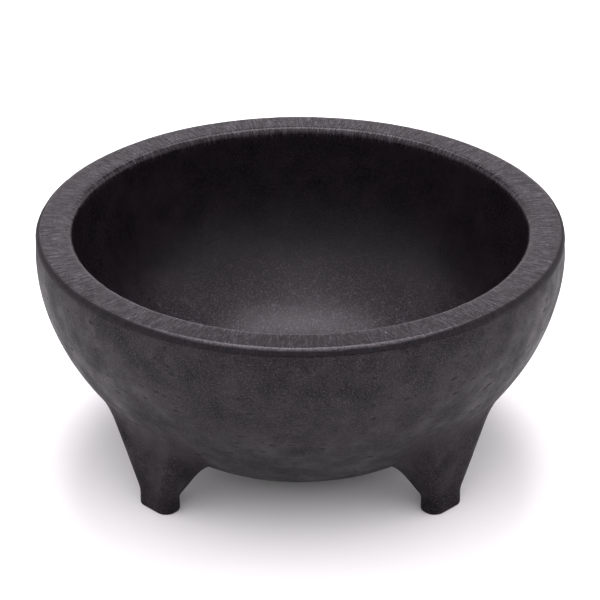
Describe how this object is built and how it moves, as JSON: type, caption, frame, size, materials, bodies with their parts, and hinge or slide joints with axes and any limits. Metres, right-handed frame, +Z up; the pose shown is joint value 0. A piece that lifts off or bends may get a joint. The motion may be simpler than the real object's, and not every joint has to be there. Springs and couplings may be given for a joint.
{
  "type": "molcajete",
  "caption": "Charcoal molcajete serving bowl: a deep round bowl with a flat rim set in a swelling outer shell, standing on short flared legs",
  "frame": {"origin": "on the floor, on the bowl's axis, midway between the four soles", "axes": "+Z up along the bowl's axis, -Y towards the front as in the picture, +X to the right; the legs stand between the X and Y axes"},
  "size_m": [0.204, 0.204, 0.094],
  "materials": {
    "bowl": "moulded charcoal plastic with a dull brushed rim and a stone-like grain inside",
    "shell": "moulded charcoal plastic with a mottled stone-like surface and small pits",
    "legs": "moulded charcoal plastic, dull and fine-grained"
  },
  "bodies": {
    "root": {"inner_bowl": "bowl", "outer_shell": "shell", "leg_front_left": "legs", "leg_front_right": "legs", "leg_rear_left": "legs", "leg_rear_right": "legs"}
  },
  "joints": []
}
